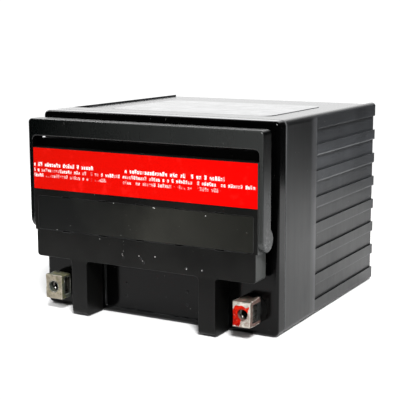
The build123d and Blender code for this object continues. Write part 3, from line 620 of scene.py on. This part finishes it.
# The fade at both ends of a stretch in mm, and the span of wear over which the ink goes
STRETCH_FADE = 0.2
WEAR_FADE = 0.2
LABEL_RED_START = (0.54, 0.0035, 0.0006)
LABEL_RED_END = (0.72, 0.0006, 0.0002)
LABEL_RED_WORN = (0.80, 0.012, 0.008)
LABEL_WHITE = (0.95, 0.86, 0.84)


def marks(look, u, v, index, row, wear):
    """1 on the ink of one row of small marks that spell nothing."""
    top, tall, pitch, stretches, limit = row
    column = look.maths("DIVIDE", u, pitch * MM)
    dice = look.node("ShaderNodeTexWhiteNoise", noise_dimensions="1D")
    look.put(dice.inputs["W"], look.plus(look.maths("FLOOR", column), MARK_SEED * index))
    chance = dice.outputs["Value"]
    # Every mark is three strokes wide and four high; each stroke is inked or left out by chance.
    stroke = look.maths("FLOOR", look.times(column, MARK_STEPS))
    fallen = look.minus(v, top * MM)
    step = look.maths("FLOOR", look.maths("DIVIDE", fallen, tall * MM / MARK_STEPS))
    grid = look.node("ShaderNodeCombineXYZ")
    look.put(grid.inputs["X"], stroke)
    look.put(grid.inputs["Y"], look.plus(step, STROKE_SEED * index))
    speck = look.node("ShaderNodeTexWhiteNoise", noise_dimensions="2D")
    look.put(speck.inputs["Vector"], grid.outputs[0])
    inked = look.ramp(speck.outputs["Value"], 0.36, 0.37, 0.28, 1.0)
    inked = look.times(inked, look.ramp(look.maths("FRACT", column), 0.80, 0.78))
    # Words end where a whole mark is missing, and most marks stay below the tallest ones.
    word = look.ramp(chance, 0.16, 0.17)
    crown = look.ramp(chance, 0.66, 0.67, 0.27, 0.02)
    raised = look.maths("DIVIDE", fallen, tall * MM)
    body = look.times(look.maths("GREATER_THAN", raised, crown), look.ramp(raised, 1.02, 0.98))
    inside = 0.0
    for start, end in stretches:
        part = look.times(look.ramp(u, (start - STRETCH_FADE) * MM, (start + STRETCH_FADE) * MM),
                          look.ramp(u, (end + STRETCH_FADE) * MM, (end - STRETCH_FADE) * MM))
        inside = look.maths("MAXIMUM", inside, part)
    kept = look.ramp(wear, limit, limit + WEAR_FADE)
    return look.times(inked, word, look.times(body, inside), kept)


def make_strip_label():
    """Red vinyl with worn rows of small white marks that spell nothing."""
    look = Look("strip_label")
    low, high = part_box("top_strip_label")
    across, _, up = look.axes()
    u = look.minus(across, low.x)
    v = look.minus(high.z, up)
    wear = look.noise(110.0, detail=5.0, rough=0.7)
    scuffs = look.noise(420.0, detail=4.0, rough=0.7, at=look.stretch(0.6, 1.0, 1.6))
    ink_wear = look.plus(wear, look.times(scuffs, 0.25))
    ink = 0.0
    for index, row in enumerate(MARK_ROWS):
        ink = look.maths("MAXIMUM", ink, marks(look, u, v, index, row, ink_wear))
    red = look.mix(look.ramp(u, 0.0, high.x - low.x), LABEL_RED_START, LABEL_RED_END)
    red = look.mix(look.ramp(wear, 0.55, 0.8), red, LABEL_RED_WORN)
    base = look.mix(ink, red, LABEL_WHITE)
    crease = look.noise(55.0, detail=3.0, rough=0.5, at=look.stretch(0.5, 1.0, 1.5))
    rough = look.ramp(scuffs, 0.3, 0.7, 0.34, 0.50)
    return look.finish(base, rough, look.bump(crease, strength=0.25, depth=0.25 * MM),
                       Specular_IOR_Level=0.03)


SIDE_LABEL_CORNER = 8.0 * MM
BORDER_INSIDE = (1.0 * MM, 0.8 * MM)
BORDER_OUTSIDE = (0.2 * MM, 0.4 * MM)
SILVER_PALE = (0.040, 0.041, 0.045)
SILVER_DULL = (0.028, 0.028, 0.031)
BORDER_GREY = (0.012, 0.012, 0.014)


def make_side_label():
    """Blank silvery vinyl with a thin grey border line."""
    look = Look("side_label")
    low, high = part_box("side_label")
    middle = (low + high) / 2
    across, along, _ = look.axes()
    # How far each point lies outside a rectangle that is drawn in by the corner radius
    beyond_x = look.minus(look.apart(across, middle.x), high.x - middle.x - SIDE_LABEL_CORNER)
    beyond_x = look.maths("MAXIMUM", beyond_x, 0.0)
    beyond_y = look.minus(look.apart(along, middle.y), high.y - middle.y - SIDE_LABEL_CORNER)
    beyond_y = look.maths("MAXIMUM", beyond_y, 0.0)
    reach = look.plus(look.maths("POWER", beyond_x, 2.0), look.maths("POWER", beyond_y, 2.0))
    inward = look.minus(SIDE_LABEL_CORNER, look.maths("SQRT", reach))
    line = look.times(look.ramp(inward, *BORDER_INSIDE), look.ramp(inward, *BORDER_OUTSIDE))
    stain = look.noise(24.0, detail=5.0, rough=0.6)
    base = look.mix(look.ramp(stain, 0.4, 0.75), SILVER_PALE, SILVER_DULL)
    base = look.mix(line, base, BORDER_GREY)
    ripple = look.noise(22.0, detail=2.0, rough=0.5)
    return look.finish(base, look.ramp(look.noise(90.0), 0.3, 0.7, 0.19, 0.23),
                       look.bump(ripple, strength=0.012, depth=0.5 * MM))


FINISHES = {
    "case_plastic": case_plastic,
    "lid_plastic": lid_plastic,
    "cover_plastic": cover_plastic,
    "cap_plastic": cap_plastic,
    "handle_plastic": handle_plastic,
    "seal_rubber": make_rubber(),
    "seal_resin": make_resin(),
    "arrestor": make_porous(),
    "negative_lead": negative_lead,
    "positive_lead": positive_lead,
    "grid_lead": grid_lead,
    "nut_steel": make_steel(),
    "positive_plate": make_paste("positive_plate", (0.045, 0.022, 0.014), (0.11, 0.055, 0.036)),
    "negative_plate": make_paste("negative_plate", (0.14, 0.145, 0.155), (0.28, 0.285, 0.30)),
    "glass_mat": make_mat(),
    "strip_label": make_strip_label(),
    "side_label": make_side_label(),
}

for part in frame["record"]["subparts"]:
    target = NODES[part["node"]]
    target.data.materials.clear()
    target.data.materials.append(FINISHES[part["material_slot"]])
    for polygon in target.data.polygons:
        polygon.material_index = 0


# ---------------------------------------------------------------- cast terminals
VOXEL = 0.2 * MM
# Dents: features per metre, and depth in mm
BROAD_SCALE, BROAD_DEPTH = 210.0, 0.45
SMALL_SCALE, SMALL_DEPTH = 620.0, 0.16
PIT_SCALE, PIT_DEPTH = 1500.0, 0.25
PIT_LIMIT = 0.35
SKIN_DEPTH = 0.03
# The part below the top that sinks with it, and the height over which that starts
TOP_ZONE = 3.0 * MM
TOP_BLEND = 1.6 * MM


def held_share(value, start, length):
    """How far a value has got along a length, held between 0 and 1."""
    return min(1.0, max(0.0, (value - start) / length))


def cast(node, name, finish, seed, sink):
    """A copy of a lead terminal with the dents and soft edges of a rough casting, inside the plain one.

    sink(u, s) is how far the top lies below the plain one, with u across it and s from front to back.
    """
    plain = bpy.data.objects.new(name, NODES[node].data.copy())
    bpy.context.scene.collection.objects.link(plain)
    remesh = plain.modifiers.new("voxels", "REMESH")
    remesh.mode = "VOXEL"
    remesh.voxel_size = VOXEL
    bpy.context.view_layer.update()
    skin = bpy.data.meshes.new_from_object(plain.evaluated_get(bpy.context.evaluated_depsgraph_get()))
    plain.modifiers.clear()
    plain.data = skin
    low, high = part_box(node)
    size = high - low
    offset = Vector((seed, 0.0, -seed))
    moved = []
    for vertex in skin.vertices:
        place, normal = vertex.co.copy(), vertex.normal
        broad = max(0.0, noise.noise(place * BROAD_SCALE + offset))
        small = max(0.0, noise.noise(place * SMALL_SCALE - offset))
        pit = max(0.0, noise.noise(place * PIT_SCALE + offset) - PIT_LIMIT)
        depth = (SKIN_DEPTH + BROAD_DEPTH * broad + SMALL_DEPTH * small + PIT_DEPTH * pit) * MM
        place -= normal * depth
        u = held_share(vertex.co.x, low.x, size.x)
        s = held_share(vertex.co.y, low.y, size.y)
        place.z -= held_share(vertex.co.z, high.z - TOP_ZONE, TOP_BLEND) * sink(u, s) * MM
        moved.append(place)
    for vertex, place in zip(skin.vertices, moved):
        vertex.co = place
    for polygon in skin.polygons:
        polygon.use_smooth = True
    skin.materials.clear()
    skin.materials.append(FINISHES[finish])
    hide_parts(node)
    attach(plain, "battery")


# The share of the width over which each top drops to its inner corner
CORNER_REACH = 0.4
POSITIVE_CORNER_DEPTH = 1.1
NEGATIVE_CORNER_DEPTH = 0.9


def hollow(u, middle, width, depth):
    """A rounded hollow across the top, in mm."""
    return depth * math.exp(-((u - middle) / width) ** 2)


def sink_positive(u, s):
    """A trough along the middle of the top, and a low inner corner at the back, in mm."""
    corner = POSITIVE_CORNER_DEPTH * max(0.0, CORNER_REACH - u) / CORNER_REACH
    return s * (hollow(u, middle=0.62, width=0.2, depth=0.9) + corner)


def sink_negative(u, s):
    """A slight hollow, lower towards the inner edge at the back, in mm."""
    corner = NEGATIVE_CORNER_DEPTH * s * max(0.0, u - (1 - CORNER_REACH)) / CORNER_REACH
    return hollow(u, middle=0.4, width=0.25, depth=0.25) + corner


cast("negative_terminal", "negative_terminal_cast", "negative_lead", 3.7, sink_negative)
cast("positive_terminal", "positive_terminal_cast", "positive_lead", 8.1, sink_positive)


# ---------------------------------------------------------------- stage
FLOOR_SIZE = (1.15, 0.64)
FLOOR_MIDDLE = (-0.13, 0.11)
FLOOR_DROP = 0.2 * MM


def make_floor():
    """A pale sheet of paper lying under and behind the battery."""
    made = bmesh.new()
    bmesh.ops.create_grid(made, x_segments=8, y_segments=8, size=0.5)
    for vertex in made.verts:
        vertex.co = Vector((vertex.co.x * FLOOR_SIZE[0] + FLOOR_MIDDLE[0],
                            vertex.co.y * FLOOR_SIZE[1] + FLOOR_MIDDLE[1], -FLOOR_DROP))
    mesh = bpy.data.meshes.new("floor")
    made.to_mesh(mesh)
    made.free()
    floor = bpy.data.objects.new("floor", mesh)
    bpy.context.scene.collection.objects.link(floor)
    look = Look("floor_paper")
    base = look.mix(look.noise(9.0), (0.88, 0.88, 0.88), (0.92, 0.92, 0.92))
    fibres = look.bump(look.noise(700.0), strength=0.1, depth=0.1 * MM)
    mesh.materials.append(look.finish(base, 0.6, fibres))


make_floor()


# The wall's middle as a direction, the cosines at which its glow begins and is full, and its strength
WALL_TOWARD = (-0.70, 0.70, 0.14)
WALL_START = 0.56
WALL_END = 0.84
WALL_STRENGTH = 1.75
MIRRORED_ROOM = 0.02
AMBIENT = 0.38
BACKGROUND = 1.1
WHITE = (1, 1, 1, 1)


def make_world():
    """White to the camera, even soft light, and in reflections one bright wall behind on the left."""
    world = bpy.data.worlds.new("studio")
    bpy.context.scene.world = world
    world.use_nodes = True
    tree = world.node_tree
    tree.nodes.clear()

    def add(kind, **settings):
        made = tree.nodes.new(kind)
        for key, value in settings.items():
            setattr(made, key, value)
        return made

    def plain(strength):
        """Even white light, of one strength or of a socket's."""
        made = add("ShaderNodeBackground")
        made.inputs["Color"].default_value = WHITE
        if isinstance(strength, float):
            made.inputs["Strength"].default_value = strength
        else:
            tree.links.new(strength, made.inputs["Strength"])
        return made.outputs[0]

    def either(ray, no, yes):
        made = add("ShaderNodeMixShader")
        tree.links.new(paths.outputs[ray], made.inputs[0])
        tree.links.new(no, made.inputs[1])
        tree.links.new(yes, made.inputs[2])
        return made.outputs[0]

    way = add("ShaderNodeTexCoord").outputs["Generated"]
    paths = add("ShaderNodeLightPath")
    toward = add("ShaderNodeVectorMath", operation="DOT_PRODUCT")
    tree.links.new(way, toward.inputs[0])
    toward.inputs[1].default_value = Vector(WALL_TOWARD).normalized()
    wall = add("ShaderNodeMapRange", interpolation_type="SMOOTHSTEP")
    tree.links.new(toward.outputs["Value"], wall.inputs["Value"])
    wall.inputs["From Min"].default_value = WALL_START
    wall.inputs["From Max"].default_value = WALL_END
    wall.inputs["To Max"].default_value = WALL_STRENGTH
    mirrored = add("ShaderNodeMath", operation="ADD")
    tree.links.new(wall.outputs["Result"], mirrored.inputs[0])
    mirrored.inputs[1].default_value = MIRRORED_ROOM
    lit = either("Is Glossy Ray", plain(AMBIENT), plain(mirrored.outputs[0]))
    seen = either("Is Camera Ray", lit, plain(BACKGROUND))
    tree.links.new(seen, add("ShaderNodeOutputWorld").inputs["Surface"])


make_world()


def add_softbox(name, place, aim, size, power):
    data = bpy.data.lights.new(name, "AREA")
    data.shape = "RECTANGLE"
    data.size, data.size_y = size
    data.energy = power
    lamp = bpy.data.objects.new(name, data)
    lamp.location = place
    lamp.rotation_euler = (Vector(aim) - Vector(place)).to_track_quat("-Z", "Y").to_euler()
    bpy.context.scene.collection.objects.link(lamp)


add_softbox("key_light", place=(1.5, -2.0, 2.6), aim=(0.0, 0.0, 0.06), size=(0.8, 0.8), power=195.0)
add_softbox("fill_light", place=(-2.4, 0.3, 2.2), aim=(-0.1, 0.0, 0.0), size=(1.2, 1.2), power=62.0)


# ---------------------------------------------------------------- camera
CAMERA_PLACE = (0.32145, -0.57687, 0.18008)
CAMERA_YAW = math.radians(-28.32)
CAMERA_PITCH = math.radians(9.32)
CAMERA_LENS = 90.16
CAMERA_SENSOR = 36.0
CAMERA_SHIFT = (-0.0625, -0.0295)
NEAREST = 0.01


def add_camera():
    data = bpy.data.cameras.new("camera")
    camera = bpy.data.objects.new("camera", data)
    bpy.context.scene.collection.objects.link(camera)
    bpy.context.scene.camera = camera
    level = math.cos(CAMERA_PITCH)
    forward = Vector((math.sin(CAMERA_YAW) * level, math.cos(CAMERA_YAW) * level,
                      -math.sin(CAMERA_PITCH)))
    right = Vector((math.cos(CAMERA_YAW), -math.sin(CAMERA_YAW), 0.0))
    turn = Matrix((right, right.cross(forward), -forward)).transposed()
    camera.matrix_world = Matrix.Translation(CAMERA_PLACE) @ turn.to_4x4()
    data.sensor_width = CAMERA_SENSOR
    data.lens = CAMERA_LENS
    data.shift_x, data.shift_y = CAMERA_SHIFT
    data.clip_start = NEAREST


add_camera()
bpy.context.scene.view_settings.view_transform = "Standard"
